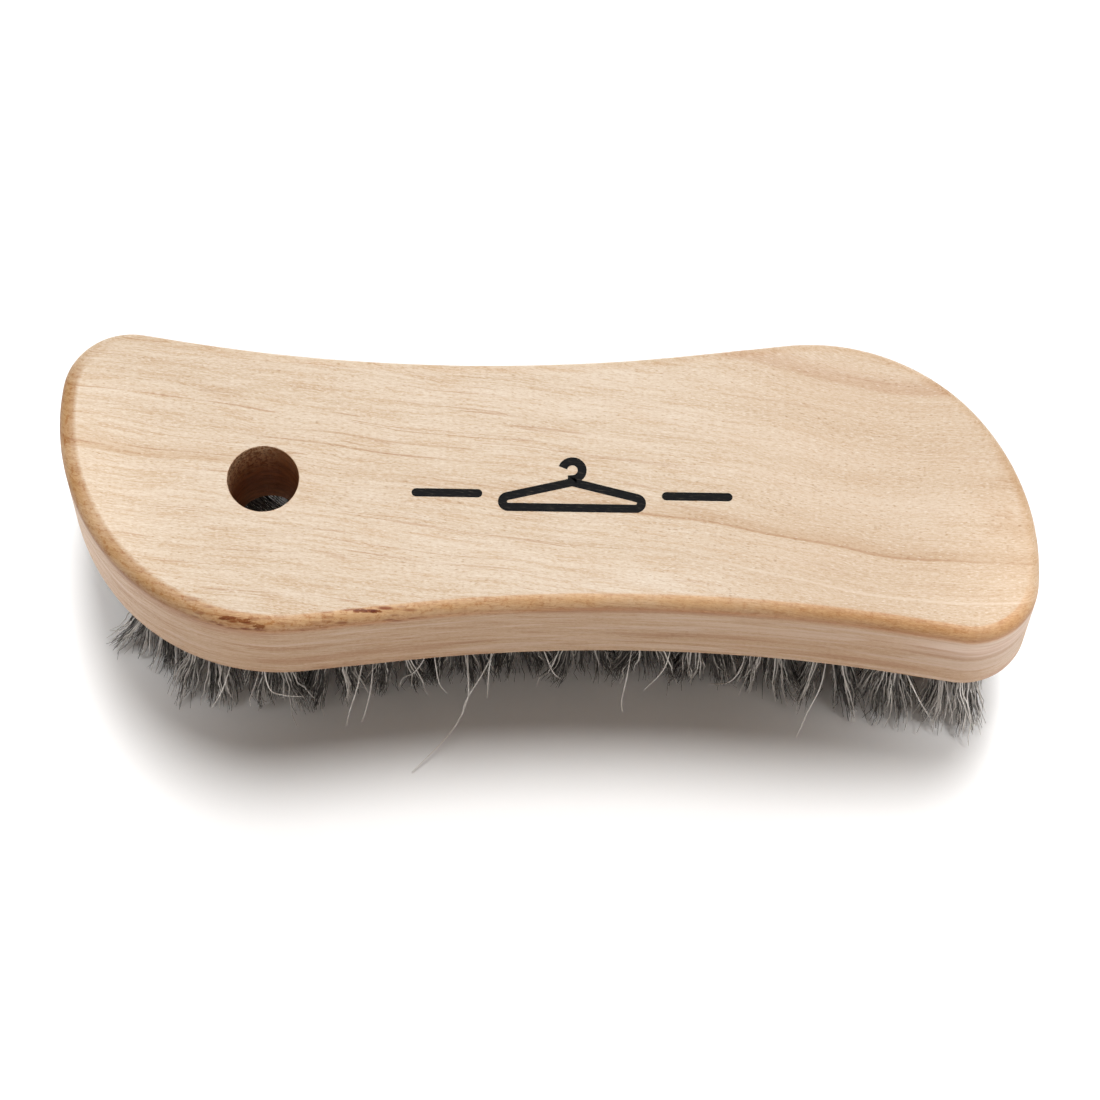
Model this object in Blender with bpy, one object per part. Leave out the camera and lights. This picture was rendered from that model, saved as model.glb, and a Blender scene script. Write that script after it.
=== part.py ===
"""Clothes brush: a beech block with a hanging hole, and horsehair tufts set in blind holes in its underside.

Metres, +Z up. The brush stands on its bristle tips at z = 0, and the origin is under the middle of the block.
+X runs along the block, towards the end without the hanging hole.
"""

import math

import bmesh
import bpy
import numpy as np
from mathutils import Vector

MM = 0.001

# The block, and how far the bristles stand out of it.
BLOCK_THICKNESS = 20.0 * MM
BRISTLE_LENGTH = 20.0 * MM
ROUND_OVER = 2.0 * MM
ROUND_OVER_STEPS = 4

# Its S-shaped outline is a chain of tangent arcs and straights. This is one half of it, anticlockwise from the
# start of the small corner. The other half is the same, turned by 180 degrees about the origin.
CORNER_RADIUS = 11.3 * MM
END_RADIUS = 42.0 * MM
END_TURN = math.radians(45.4)
HEEL_RADIUS = 35.7 * MM
HEEL_TURN = math.radians(58.3)
HEEL_STRAIGHT = 16.4 * MM
WAIST_RADIUS = 300.0 * MM
WAIST_TURN = math.radians(16.3)
TOE_STRAIGHT = 8.3 * MM
START_HEADING = math.radians(171.2)
FACET_TURN = math.radians(6.0)

# The hanging hole goes right through.
HANGING_HOLE_DIAMETER = 12.0 * MM
HANGING_HOLE_PLACE = Vector((-47.3 * MM, -0.25 * MM))
HANGING_HOLE_SIDES = 36

# The tufts' blind holes, and the tufts, each a bundle of hair folded in half and anchored in its hole.
TUFT_HOLE_DIAMETER = 6.8 * MM
TUFT_HOLE_DEPTH = 9.0 * MM
TUFT_HOLE_SIDES = 12
TUFT_SIDES = 8
TUFT_DIAMETER = 6.0 * MM
TUFT_TIP_DIAMETER = 8.4 * MM
TUFT_TOP_GAP = 0.5 * MM
TUFT_ROOT_TAPER = 0.55
TUFT_RING_PLACES = (1.0, 0.7, 0.35)
SPLAY_BEND = 1.4
OUTER_INSET = 5.7 * MM
OUTER_COUNT = 34
OUTER_SPLAY = 4.2 * MM
INNER_INSET = 15.3 * MM
INNER_COUNT = 24
CENTRE_TUFT_PLACE = Vector((47.3 * MM, 1.8 * MM))
HOLE_WALL = 1.5 * MM

# How far the hole cutter stands out of the block, and how finely the rows of tufts are laid out.
CUT_PAST = 1.0 * MM
PATH_SPACING = 0.5 * MM
PATH_TOLERANCE = 0.02 * MM

BEECH = (0.74, 0.56, 0.39)
HORSEHAIR = (0.20, 0.195, 0.19)


def half_outline(inset):
    """(length, turn) of each step of half the outline, this far inside it. A left turn is positive."""
    corner_turn = math.pi - END_TURN - HEEL_TURN + WAIST_TURN
    steps = (
        (CORNER_RADIUS * corner_turn, corner_turn),
        (END_RADIUS * END_TURN, END_TURN),
        (HEEL_RADIUS * HEEL_TURN, HEEL_TURN),
        (HEEL_STRAIGHT, 0.0),
        (WAIST_RADIUS * WAIST_TURN, -WAIST_TURN),
        (TOE_STRAIGHT, 0.0),
    )
    return [(length - inset * turn, turn) for length, turn in steps]


def travel(point, heading, length, turn):
    """The point and heading at the end of an arc, or of a straight where turn is 0."""
    if turn == 0.0:
        return point + length * Vector((math.cos(heading), math.sin(heading))), heading
    radius = length / turn
    centre = point + radius * Vector((-math.sin(heading), math.cos(heading)))
    heading += turn
    return centre - radius * Vector((-math.sin(heading), math.cos(heading))), heading


def outline(inset=0.0, longest=math.inf, sharpest=FACET_TURN):
    """Points around the outline, anticlockwise, at most this far apart and this much turn apart."""
    point, heading = Vector((0.0, 0.0)), START_HEADING
    half = []
    for length, turn in half_outline(inset):
        pieces = max(math.ceil(abs(turn) / sharpest), math.ceil(abs(length) / longest), 1)
        for _ in range(pieces):
            half.append(point)
            point, heading = travel(point, heading, length / pieces, turn / pieces)
    half = [p - point / 2 for p in half]
    return half + [-p for p in half]


def inset_path(inset):
    """Points close together along a line inside the outline, without the loops that it makes at the small corners
    where the inset is larger than their radius."""
    edge = np.array(outline(longest=PATH_SPACING))
    path = np.array(outline(inset, longest=PATH_SPACING))
    distance = np.linalg.norm(path[:, None] - edge[None], axis=2).min(axis=1)
    return path[distance > inset - PATH_TOLERANCE]


def evenly_along(path, count):
    """(place, outward direction) of this many points evenly spaced along a closed path."""
    forward = np.roll(path, -1, axis=0) - path
    lengths = np.linalg.norm(forward, axis=1)
    starts = np.concatenate([[0.0], np.cumsum(lengths)])
    stations = []
    for i in range(count):
        target = i * starts[-1] / count
        k = int(np.searchsorted(starts, target, side="right")) - 1
        along = forward[k] / lengths[k]
        place = path[k] + along * (target - starts[k])
        stations.append((Vector(place), Vector((along[1], -along[0]))))
    return stations


def clear_of_hanging_hole(place):
    needed = HANGING_HOLE_DIAMETER / 2 + TUFT_HOLE_DIAMETER / 2 + HOLE_WALL
    return (place - HANGING_HOLE_PLACE).length > needed


def tuft_stations():
    """Name, place and outward angle of every tuft, with how far its tip splays."""
    rows = (("outer", OUTER_INSET, OUTER_COUNT, OUTER_SPLAY), ("inner", INNER_INSET, INNER_COUNT, 0.0))
    stations = []
    for row, inset, count, splay in rows:
        clear = [s for s in evenly_along(inset_path(inset), count) if clear_of_hanging_hole(s[0])]
        for number, (place, outward) in enumerate(clear, start=1):
            angle = math.atan2(outward.y, outward.x)
            stations.append((f"tuft_{row}_{number:02d}", place, angle, splay))
    stations.append(("tuft_centre", CENTRE_TUFT_PLACE, 0.0, 0.0))
    return stations


def circle(radius, z, sides, x=0.0):
    """A level ring of points that starts half a side from +X."""
    turns = [2 * math.pi * (i + 0.5) / sides for i in range(sides)]
    return [(x + radius * math.cos(a), radius * math.sin(a), z) for a in turns]


def loft(bm, rings):
    """A closed body through level rings of equally many points, listed from the lowest."""
    loops = [[bm.verts.new(point) for point in ring] for ring in rings]
    for lower, upper in zip(loops, loops[1:]):
        for i, vert in enumerate(lower):
            j = (i + 1) % len(lower)
            bm.faces.new((vert, lower[j], upper[j], upper[i]))
    bm.faces.new(reversed(loops[0]))
    bm.faces.new(loops[-1])


def finish_mesh(bm, name, sharp_angle=math.radians(35.0)):
    mesh = bpy.data.meshes.new(name)
    bm.to_mesh(mesh)
    bm.free()
    mesh.shade_smooth()
    mesh.set_sharp_from_angle(angle=sharp_angle)
    return mesh


def add_object(name, mesh, parent):
    obj = bpy.data.objects.new(name, mesh)
    obj.parent = parent
    bpy.context.scene.collection.objects.link(obj)
    return obj


def make_material(name, colour, roughness):
    material = bpy.data.materials.new(name)
    material.use_nodes = True
    shader = material.node_tree.nodes["Principled BSDF"]
    shader.inputs["Base Color"].default_value = (*colour, 1.0)
    shader.inputs["Roughness"].default_value = roughness
    shader.inputs["Metallic"].default_value = 0.0
    return material


def make_hole_cutter(stations, parent):
    """One hidden mesh of the hanging hole and all the tufts' holes."""
    underside = BRISTLE_LENGTH
    top = BRISTLE_LENGTH + BLOCK_THICKNESS
    bores = [(HANGING_HOLE_PLACE, HANGING_HOLE_DIAMETER, top + CUT_PAST, HANGING_HOLE_SIDES)]
    for _, place, _, _ in stations:
        bores.append((place, TUFT_HOLE_DIAMETER, underside + TUFT_HOLE_DEPTH, TUFT_HOLE_SIDES))
    bm = bmesh.new()
    for place, diameter, upper, sides in bores:
        rings = [circle(diameter / 2, z, sides) for z in (underside - CUT_PAST, upper)]
        loft(bm, [[(x + place.x, y + place.y, z) for x, y, z in ring] for ring in rings])
    cutter = add_object("hole_cutter", finish_mesh(bm, "hole_cutter"), parent)
    cutter.hide_render = True
    cutter.display_type = "WIRE"
    return cutter


def make_block(cutter, parent):
    """The block, with its top edge rounded over and its underside left square."""
    underside = BRISTLE_LENGTH
    top = BRISTLE_LENGTH + BLOCK_THICKNESS
    levels = [(0.0, underside)]
    for step in range(ROUND_OVER_STEPS + 1):
        angle = math.radians(90.0) * step / ROUND_OVER_STEPS
        levels.append((ROUND_OVER * (1 - math.cos(angle)), top - ROUND_OVER * (1 - math.sin(angle))))
    bm = bmesh.new()
    loft(bm, [[(p.x, p.y, z) for p in outline(inset)] for inset, z in levels])
    block = add_object("handle_block", finish_mesh(bm, "handle_block"), parent)
    block.data.materials.append(make_material("beech", BEECH, 0.5))
    holes = block.modifiers.new("holes", "BOOLEAN")
    holes.operation = "DIFFERENCE"
    holes.solver = "EXACT"
    holes.object = cutter


def make_tuft_mesh(name, splay, material):
    """A tuft about its hole's mouth: a shank with a tapered root, and hair that spreads to a level tip.
    The tip is shifted by the splay towards +X."""
    shank, tip = TUFT_DIAMETER / 2, TUFT_TIP_DIAMETER / 2
    root = TUFT_HOLE_DEPTH - TUFT_TOP_GAP
    bm = bmesh.new()
    rings = []
    for part in TUFT_RING_PLACES:
        radius = shank + (tip - shank) * part
        rings.append(circle(radius, -BRISTLE_LENGTH * part, TUFT_SIDES, splay * part**SPLAY_BEND))
    rings.append(circle(shank, 0.0, TUFT_SIDES))
    rings.append(circle(shank, root - shank / 2, TUFT_SIDES))
    rings.append(circle(shank * TUFT_ROOT_TAPER, root, TUFT_SIDES))
    loft(bm, rings)
    mesh = finish_mesh(bm, name, sharp_angle=math.radians(50.0))
    mesh.materials.append(material)
    return mesh


def make_tufts(stations, parent):
    hair = make_material("horsehair", HORSEHAIR, 0.6)
    splays = sorted({splay for _, _, _, splay in stations})
    meshes = {splay: make_tuft_mesh(f"tuft_{i}", splay, hair) for i, splay in enumerate(splays)}
    for name, place, angle, splay in stations:
        tuft = add_object(name, meshes[splay], parent)
        tuft.location = (place.x, place.y, BRISTLE_LENGTH)
        tuft.rotation_euler.z = angle


def clear_scene():
    for obj in list(bpy.data.objects):
        bpy.data.objects.remove(obj, do_unlink=True)


def main():
    clear_scene()
    brush = add_object("clothes_brush", None, None)
    stations = tuft_stations()
    make_block(make_hole_cutter(stations, brush), brush)
    make_tufts(stations, brush)


main()
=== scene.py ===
"""Looks of the clothes brush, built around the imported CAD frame.

Lengths are in millimetres until a mesh or an object is made, and in metres from there on. The bristle tips
stand on z = 0, +X runs along the block towards the end without the hanging hole, and the front faces -Y.
"""

import math

import bmesh
import bpy
import numpy as np
from mathutils import Matrix, Vector


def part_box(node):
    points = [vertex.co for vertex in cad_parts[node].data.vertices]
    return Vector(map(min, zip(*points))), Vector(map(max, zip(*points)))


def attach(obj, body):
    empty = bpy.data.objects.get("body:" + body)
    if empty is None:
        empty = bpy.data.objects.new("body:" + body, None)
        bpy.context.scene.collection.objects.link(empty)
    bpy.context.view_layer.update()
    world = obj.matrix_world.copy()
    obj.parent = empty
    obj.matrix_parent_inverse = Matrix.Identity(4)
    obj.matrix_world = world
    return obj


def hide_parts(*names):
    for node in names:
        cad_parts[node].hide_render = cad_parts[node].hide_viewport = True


MM = 0.001
FULL_TURN = 2 * math.pi

# The block's outline, as in the CAD: one half of it, as a chain of tangent arcs and straights.
CORNER_RADIUS = 11.3
END_RADIUS = 42.0
END_TURN = math.radians(45.4)
HEEL_RADIUS = 35.7
HEEL_TURN = math.radians(58.3)
HEEL_STRAIGHT = 16.4
WAIST_RADIUS = 300.0
WAIST_TURN = math.radians(16.3)
TOE_STRAIGHT = 8.3
START_HEADING = math.radians(171.2)
BLOCK_TOP = 40.0
ROUND_OVER = 2.0
HANGING_HOLE_PLACE = np.array([-47.3, -0.25])
HANGING_HOLE_RADIUS = 6.0
TUFT_HOLE_RADIUS = 3.4
TUFT_HOLE_DEPTH = 9.0

# What the CAD leaves out: broken edges, drill points, and the unevenness of a hand-sanded edge.
LOWER_EDGE = 0.35
HANGING_RIM = 0.08
TUFT_RIM = 0.12
DRILL_POINT = 1.2
CUT_PAST = 1.0
SANDING_WANDER = 0.14
# The way the top edge faces where its burnished colour is fullest. It fades towards the back as a painted
# highlight, where the light from behind falls on the edge.
FULLEST_BURNISH_FACING = np.array([-0.45, -0.90])

# The wood's colours, and the dashes that the sander burnt into its top edge: (x, y, half the length) of each.
BEECH = (0.638, 0.502, 0.363)
BEECH_DARK = (0.603, 0.462, 0.322)
BEECH_PALE = (0.678, 0.552, 0.420)
BEECH_FLECK = (0.730, 0.620, 0.500)
SCORCH_MARKS = (
    (-52.1, -25.4, 1.7),
    (-49.2, -25.9, 1.5),
    (-46.9, -26.7, 1.2),
    (-30.3, -23.9, 1.4),
    (-27.6, -23.9, 1.1),
)
SCORCH_HALF_WIDTH = 0.36

# The printed ornament, about its own middle.
ORNAMENT_PLACE = np.array([4.4, -0.7])
ORNAMENT_LINE = 1.5
INK_THICKNESS = 0.03
INK_DEPTH = 0.01
INK_LAYER = 0.003

# The hair. A lean is how far tips stand off, (towards the brush's end, outwards), where it is largest.
OUTER_HAIRS = 310
INNER_HAIRS = 210
HAIR_POINTS = 12
HAIR_IN_HOLE = 5.0
LOCKS = 12
LEG_EXIT = 1.35
LEG_TIP = 2.9
FREE_HAIRS = 0.30
FARTHEST_TUFT = 68.0
HEEL_LEAN = (1.4, 2.8)
TOE_LEAN = (2.2, 3.4)
GAP_BY_HANGING_HOLE = np.array([-44.0, 10.0])
GAP_REACH = 17.0
LONG_HAIR_POINTS = 26
LONG_HAIR_RADIUS = 0.135
TUBE_SIDE_HINT = np.array([0.31, 0.95, 0.05])
TINY = 1e-9

# The wire anchors.
ANCHOR_LENGTH = 7.3
ANCHOR_WIDTH = 1.9
ANCHOR_THICKNESS = 0.35
ANCHOR_BOW = 0.5
ANCHOR_POINTS = 9
ANCHOR_ABOVE_HOLE_END = -2.6

# The camera, aimed at a point on the block's top face.
CAMERA_AZIMUTH = math.radians(0.15)
CAMERA_ELEVATION = math.radians(66.36)
CAMERA_ROLL = math.radians(1.05)
CAMERA_DISTANCE = 614.0
CAMERA_TARGET = (0.86, -12.43, 40.0)
CAMERA_LENS = 121.15
SENSOR_WIDTH = 36.0


# ---- small helpers


def mesh_object(name, vertices, faces, material):
    """An object from points in millimetres."""
    mesh = bpy.data.meshes.new(name)
    mesh.from_pydata((np.asarray(vertices) * MM).tolist(), [], faces)
    mesh.validate()
    obj = bpy.data.objects.new(name, mesh)
    bpy.context.scene.collection.objects.link(obj)
    mesh.materials.append(material)
    return obj


def arc_points(centre, radius, start, end, steps):
    """Points along an arc, its angles in degrees."""
    angles = np.radians(np.linspace(start, end, steps))
    return [(centre[0] + radius * math.cos(a), centre[1] + radius * math.sin(a)) for a in angles]


def apply_modifiers(obj):
    """Keep the mesh that the object's modifiers make, and drop the modifiers."""
    graph = bpy.context.evaluated_depsgraph_get()
    mesh = bpy.data.meshes.new_from_object(obj.evaluated_get(graph))
    obj.modifiers.clear()
    obj.data = mesh


class Graph:
    """A material's nodes, with one short call for each kind. A socket or a number goes in anywhere."""

    def __init__(self, name):
        self.material = bpy.data.materials.new(name)
        self.material.use_nodes = True
        self.tree = self.material.node_tree
        self.shader = self.tree.nodes["Principled BSDF"]

    def put(self, socket, value):
        if isinstance(value, bpy.types.NodeSocket):
            self.tree.links.new(value, socket)
        else:
            socket.default_value = value

    def node(self, kind, **settings):
        node = self.tree.nodes.new(kind)
        for key, value in settings.items():
            setattr(node, key, value)
        return node

    def math(self, operation, *values):
        node = self.node("ShaderNodeMath", operation=operation)
        for socket, value in zip(node.inputs, values):
            self.put(socket, value)
        return node.outputs[0]

    def add(self, a, b):
        return self.math("ADD", a, b)

    def times(self, a, b):
        return self.math("MULTIPLY", a, b)

    def smooth(self, value, low, high, to_low=0.0, to_high=1.0):
        """to_low up to low, to_high from high on, and a smooth step between them."""
        node = self.node("ShaderNodeMapRange", interpolation_type="SMOOTHSTEP")
        for socket, number in zip(node.inputs, (value, low, high, to_low, to_high)):
            self.put(socket, number)
        return node.outputs[0]

    def position(self):
        """x, y, z in millimetres, in the brush's own frame."""
        scaled = self.node("ShaderNodeVectorMath", operation="SCALE")
        self.put(scaled.inputs[0], self.node("ShaderNodeTexCoord").outputs["Object"])
        scaled.inputs["Scale"].default_value = 1 / MM
        return self.parts(scaled.outputs[0])

    def normal(self):
        return self.parts(self.node("ShaderNodeNewGeometry").outputs["Normal"])

    def parts(self, vector):
        node = self.node("ShaderNodeSeparateXYZ")
        self.put(node.inputs[0], vector)
        return tuple(node.outputs)

    def vector(self, x, y, z):
        node = self.node("ShaderNodeCombineXYZ")
        for socket, value in zip(node.inputs, (x, y, z)):
            self.put(socket, value)
        return node.outputs[0]

    def scaled(self, place, scales):
        """A place with each coordinate multiplied by its own scale."""
        return self.vector(*(self.times(value, scale) for value, scale in zip(place, scales)))

    def offset(self, value, middle, reach):
        """How many reaches the value is past the middle."""
        return self.times(self.add(value, -middle), 1 / reach)

    def bell(self, *offsets):
        """1 where every offset is 0, fading evenly to nothing at about 2."""
        total = None
        for offset in offsets:
            square = self.times(offset, offset)
            total = square if total is None else self.add(total, square)
        return self.math("EXPONENT", self.times(total, -1.0))

    def noise(self, vector, detail=2.0, roughness=0.5, distortion=0.0):
        node = self.node("ShaderNodeTexNoise")
        self.put(node.inputs["Vector"], vector)
        node.inputs["Scale"].default_value = 1.0
        node.inputs["Detail"].default_value = detail
        node.inputs["Roughness"].default_value = roughness
        node.inputs["Distortion"].default_value = distortion
        return node.outputs["Fac"]

    def cells(self, vector):
        """Distance to the nearest point, and that point's random number, of a cellular pattern."""
        node = self.node("ShaderNodeTexVoronoi")
        self.put(node.inputs["Vector"], vector)
        node.inputs["Scale"].default_value = 1.0
        chance = self.node("ShaderNodeSeparateColor")
        self.put(chance.inputs[0], node.outputs["Color"])
        return node.outputs["Distance"], chance.outputs[0]

    def mix(self, amount, a, b, blend="MIX"):
        """From colour a to colour b. Either may be a socket or three numbers."""
        node = self.node("ShaderNodeMix", data_type="RGBA", blend_type=blend)
        self.put(node.inputs["Factor"], amount)
        colour_inputs = [s for s in node.inputs if s.type == "RGBA"]
        for socket, value in zip(colour_inputs, (a, b)):
            self.put(socket, (*value, 1.0) if isinstance(value, tuple) else value)
        return next(s for s in node.outputs if s.type == "RGBA")

    def tint(self, amount, colour, factor):
        """The colour times factor, as far as amount says."""
        return self.mix(amount, colour, factor, blend="MULTIPLY")

    def ramp(self, value, stops):
        node = self.node("ShaderNodeValToRGB")
        self.put(node.inputs[0], value)
        elements = node.color_ramp.elements
        while len(elements) < len(stops):
            elements.new(0.5)
        for element, (place, colour) in zip(elements, stops):
            element.position = place
            element.color = (*colour, 1.0)
        return node.outputs["Color"]

    def bump(self, height, distance, strength=1.0):
        """Relief of this many millimetres."""
        node = self.node("ShaderNodeBump")
        self.put(node.inputs["Height"], height)
        node.inputs["Distance"].default_value = distance * MM
        node.inputs["Strength"].default_value = strength
        self.put(self.shader.inputs["Normal"], node.outputs[0])


# ---- the outline


def half_outline():
    """(length, turn) of each step of half the outline. A left turn is positive."""
    corner_turn = math.pi - END_TURN - HEEL_TURN + WAIST_TURN
    return (
        (CORNER_RADIUS * corner_turn, corner_turn),
        (END_RADIUS * END_TURN, END_TURN),
        (HEEL_RADIUS * HEEL_TURN, HEEL_TURN),
        (HEEL_STRAIGHT, 0.0),
        (WAIST_RADIUS * WAIST_TURN, -WAIST_TURN),
        (TOE_STRAIGHT, 0.0),
    )


def travel(point, heading, length, turn):
    """The point and heading at the end of an arc, or of a straight where turn is 0."""
    if turn == 0.0:
        return point + length * np.array([math.cos(heading), math.sin(heading)]), heading
    radius = length / turn
    centre = point + radius * np.array([-math.sin(heading), math.cos(heading)])
    heading += turn
    return centre - radius * np.array([-math.sin(heading), math.cos(heading)]), heading


def outline(spacing):
    """(points, outward normals) around the block, anticlockwise."""
    point, heading = np.zeros(2), START_HEADING
    points, normals = [], []
    for length, turn in half_outline():
        pieces = math.ceil(length / spacing)
        for _ in range(pieces):
            points.append(point)
            normals.append((math.sin(heading), -math.cos(heading)))
            point, heading = travel(point, heading, length / pieces, turn / pieces)
    points = np.array(points) - point / 2
    normals = np.array(normals)
    return np.concatenate([points, -points]), np.concatenate([normals, -normals])


# ---- materials


def grain_line(g, x, y, z):
    """Distance across the grain from the block's main growth ring. The rings run along the block, fall a
    little towards +X, dip once near its far end, and slope down through its thickness."""
    slope = g.times(x, 0.115)
    depth = g.times(g.add(z, -BLOCK_TOP), 1.3)
    dip = g.times(g.bell(g.offset(x, 58.0, 17.0)), 2.8)
    wander = g.times(g.add(g.noise(g.vector(g.times(x, 0.035), g.times(y, 0.06), 0.0), 1.0), -0.5), 3.0)
    total = g.add(g.add(y, 3.5), g.add(slope, depth))
    return g.add(total, g.add(dip, wander))


def ring_band(g, across, place, before, after):
    """1 on a growth ring, fading over two different widths on its two sides."""
    low = g.smooth(across, place - before, place)
    high = g.smooth(across, place, place + after, 1.0, 0.0)
    return g.times(low, high)


def contour(g, value, core, edge):
    """A thin line wherever the value passes a whole number and a half."""
    off_line = g.math("ABSOLUTE", g.add(g.math("FRACT", value), -0.5))
    return g.smooth(off_line, core, edge, 1.0, 0.0)


def fleck(g, place, length, width, chance, size=0.32):
    """Short dashes along the grain, more of them the higher the chance."""
    distance, random = g.cells(g.scaled(place, (1 / length, 1 / width, 1 / width)))
    drawn = g.smooth(random, 1 - chance, 1 - chance * 0.6)
    return g.times(g.smooth(distance, size * 0.35, size, 1.0, 0.0), drawn)


def add_figure(g, x, across, z):
    """(colour, fibre) of plain beech: broad soft bands, then streaks, fibres and specks, each finer still."""
    broad = g.noise(g.vector(g.times(x, 0.014), g.times(across, 0.13), 1.7), 2.0, 0.5)
    colour = g.ramp(broad, [(0.32, BEECH_DARK), (0.50, BEECH), (0.68, BEECH_PALE)])
    streaks = g.noise(g.scaled((x, across, z), (0.085, 1.15, 0.4)), 3.0, 0.62)
    streaky = g.smooth(x, 15.0, 45.0, 1.0, 0.45)
    colour = g.tint(g.times(g.smooth(streaks, 0.50, 0.63), streaky), colour, (0.92, 0.85, 0.77))
    colour = g.mix(g.times(g.smooth(streaks, 0.48, 0.36, 0.0, 0.45), streaky), colour, BEECH_FLECK)
    fibre = g.noise(g.scaled((x, across, z), (0.95, 4.4, 4.4)), 3.0, 0.7)
    colour = g.tint(g.smooth(fibre, 0.51, 0.66), colour, (0.89, 0.82, 0.74))
    colour = g.mix(g.smooth(fibre, 0.49, 0.36, 0.0, 0.60), colour, BEECH_FLECK)
    speck = g.noise(g.scaled((x, across, z), (1.6, 7.0, 7.0)), 2.0, 0.6)
    return g.tint(g.smooth(speck, 0.54, 0.68), colour, (0.90, 0.83, 0.76)), fibre


def add_main_ring(g, colour, x, across):
    """One strong dark line with a redder band above it, fainter in the hole's half and at the far end."""
    strength = g.smooth(g.math("ABSOLUTE", g.add(x, 20.0)), 14.0, 44.0, 0.35, 1.0)
    strength = g.times(strength, g.smooth(x, 62.0, 78.0, 1.0, 0.35))
    band = g.times(ring_band(g, across, 0.0, 0.35, 3.6), strength)
    line = g.times(ring_band(g, across, 0.05, 0.30, 0.45), g.times(g.smooth(x, -20.0, 25.0), strength))
    colour = g.tint(g.times(band, 0.85), colour, (0.86, 0.76, 0.65))
    return g.tint(g.times(line, 0.75), colour, (0.80, 0.66, 0.52))


def add_other_rings(g, colour, x, across):
    """A reddish band near the back edge, a pale line, thin lines that come and go, and a pair of lines."""
    back_band = g.times(ring_band(g, across, 31.0, 1.2, 4.0), g.smooth(x, 18.0, 34.0))
    colour = g.tint(g.times(back_band, 0.9), colour, (0.88, 0.78, 0.71))
    pale = g.times(ring_band(g, across, -7.2, 0.4, 0.4), g.smooth(x, 20.0, 36.0))
    colour = g.mix(g.times(pale, 0.6), colour, BEECH_FLECK)
    level = g.noise(g.vector(g.times(x, 0.004), g.times(across, 0.34), 9.1), 2.0, 0.6)
    wear = g.noise(g.vector(g.times(x, 0.08), g.times(across, 0.5), 3.3), 2.0)
    thin = g.times(contour(g, g.times(level, 9.0), 0.015, 0.07), g.smooth(wear, 0.42, 0.56))
    thin = g.times(thin, g.smooth(x, 45.0, -10.0, 0.35, 1.0))
    colour = g.tint(g.times(thin, 0.75), colour, (0.76, 0.60, 0.48))
    pair = g.add(ring_band(g, across, 8.0, 0.25, 0.30), ring_band(g, across, 5.7, 0.25, 0.30))
    pair = g.times(pair, g.times(g.smooth(x, -46.0, -38.0), g.smooth(x, -9.0, -17.0)))
    return g.tint(g.times(pair, 0.65), colour, (0.78, 0.63, 0.50))


def add_pores(g, colour, x, across, z):
    """(colour, small pores, large pores): dark and pale dashes along the grain, in crowds."""
    crowd = g.noise(g.vector(g.times(x, 0.05), g.times(across, 0.25), 6.0), 2.0)
    small = g.times(fleck(g, (x, across, z), 1.1, 0.30, 0.60), g.smooth(crowd, 0.32, 0.60, 0.30, 1.0))
    large = fleck(g, (g.add(x, 31.0), across, z), 2.4, 0.55, 0.22, 0.22)
    large = g.times(large, g.smooth(crowd, 0.40, 0.65, 0.2, 1.0))
    pale = fleck(g, (g.add(x, 77.0), across, z), 1.2, 0.34, 0.45)
    colour = g.tint(g.times(small, 0.50), colour, (0.72, 0.55, 0.42))
    colour = g.tint(g.times(large, 0.60), colour, (0.66, 0.46, 0.33))
    return g.mix(g.times(pale, 0.45), colour, (0.80, 0.71, 0.60)), small, large


def add_stain(g, colour, x, y):
    """A faint mottled brown stain by the end away from the hole."""
    near = g.bell(g.offset(x, 79.0, 5.0), g.offset(y, -1.0, 10.0))
    mottle = g.noise(g.vector(g.times(x, 0.25), g.times(y, 0.25), 5.0), 3.0)
    return g.tint(g.times(g.times(near, g.smooth(mottle, 0.3, 0.6)), 0.9), colour, (0.89, 0.80, 0.70))


def growth_lines(g, place, x, y, z):
    """Thin lines worn away here and there, one wherever place passes a whole number and a half."""
    wear = g.noise(g.scaled((x, y, z), (0.05, 0.25, 0.5)), 2.0)
    return g.times(contour(g, place, 0.03, 0.22), g.smooth(wear, 0.36, 0.58, 0.2, 1.0))


def add_sides(g, colour, place, across, normal):
    """The sides are a little pinker, with a paler patch near one corner, just under the top edge. Wavy bands
    and lines follow them lengthwise where the rings run out, and slanting lines cross the two ends."""
    x, y, z = place
    side = g.smooth(normal[2], 0.55, 0.15)
    pale_patch = g.bell(g.offset(x, 72.0, 10.0), g.offset(z, 34.5, 3.5))
    colour = g.mix(g.times(g.times(pale_patch, side), 0.85), colour, (0.90, 0.82, 0.76))
    colour = g.tint(side, colour, (0.885, 0.77, 0.68))
    end = g.smooth(g.math("ABSOLUTE", normal[0]), 0.70, 0.96)
    flank = g.times(side, g.smooth(end, 0.0, 1.0, 1.0, 0.15))
    wave = g.noise(g.scaled((x, y, z), (0.022, 0.022, 0.32)), 3.0, 0.6, 0.5)
    colour = g.tint(g.times(flank, g.smooth(wave, 0.46, 0.62)), colour, (0.86, 0.76, 0.69))
    colour = g.mix(g.times(flank, g.smooth(wave, 0.46, 0.36, 0.0, 0.30)), colour, (0.74, 0.60, 0.50))
    drift = g.noise(g.scaled((x, y, z), (0.018, 0.018, 0.05)), 2.0)
    along_flank = growth_lines(g, g.add(g.times(z, 0.36), g.times(drift, 4.0)), x, y, z)
    colour = g.tint(g.times(g.times(along_flank, flank), 0.55), colour, (0.86, 0.76, 0.68))
    over_end = growth_lines(g, g.add(g.times(across, 0.22), g.times(drift, 2.0)), x, y, z)
    colour = g.tint(g.times(g.times(over_end, g.times(side, end)), 0.75), colour, (0.84, 0.73, 0.63))
    ring = g.times(contour(g, g.times(wave, 8.0), 0.03, 0.12), flank)
    return g.tint(g.times(ring, 0.35), colour, (0.84, 0.72, 0.63))


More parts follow.
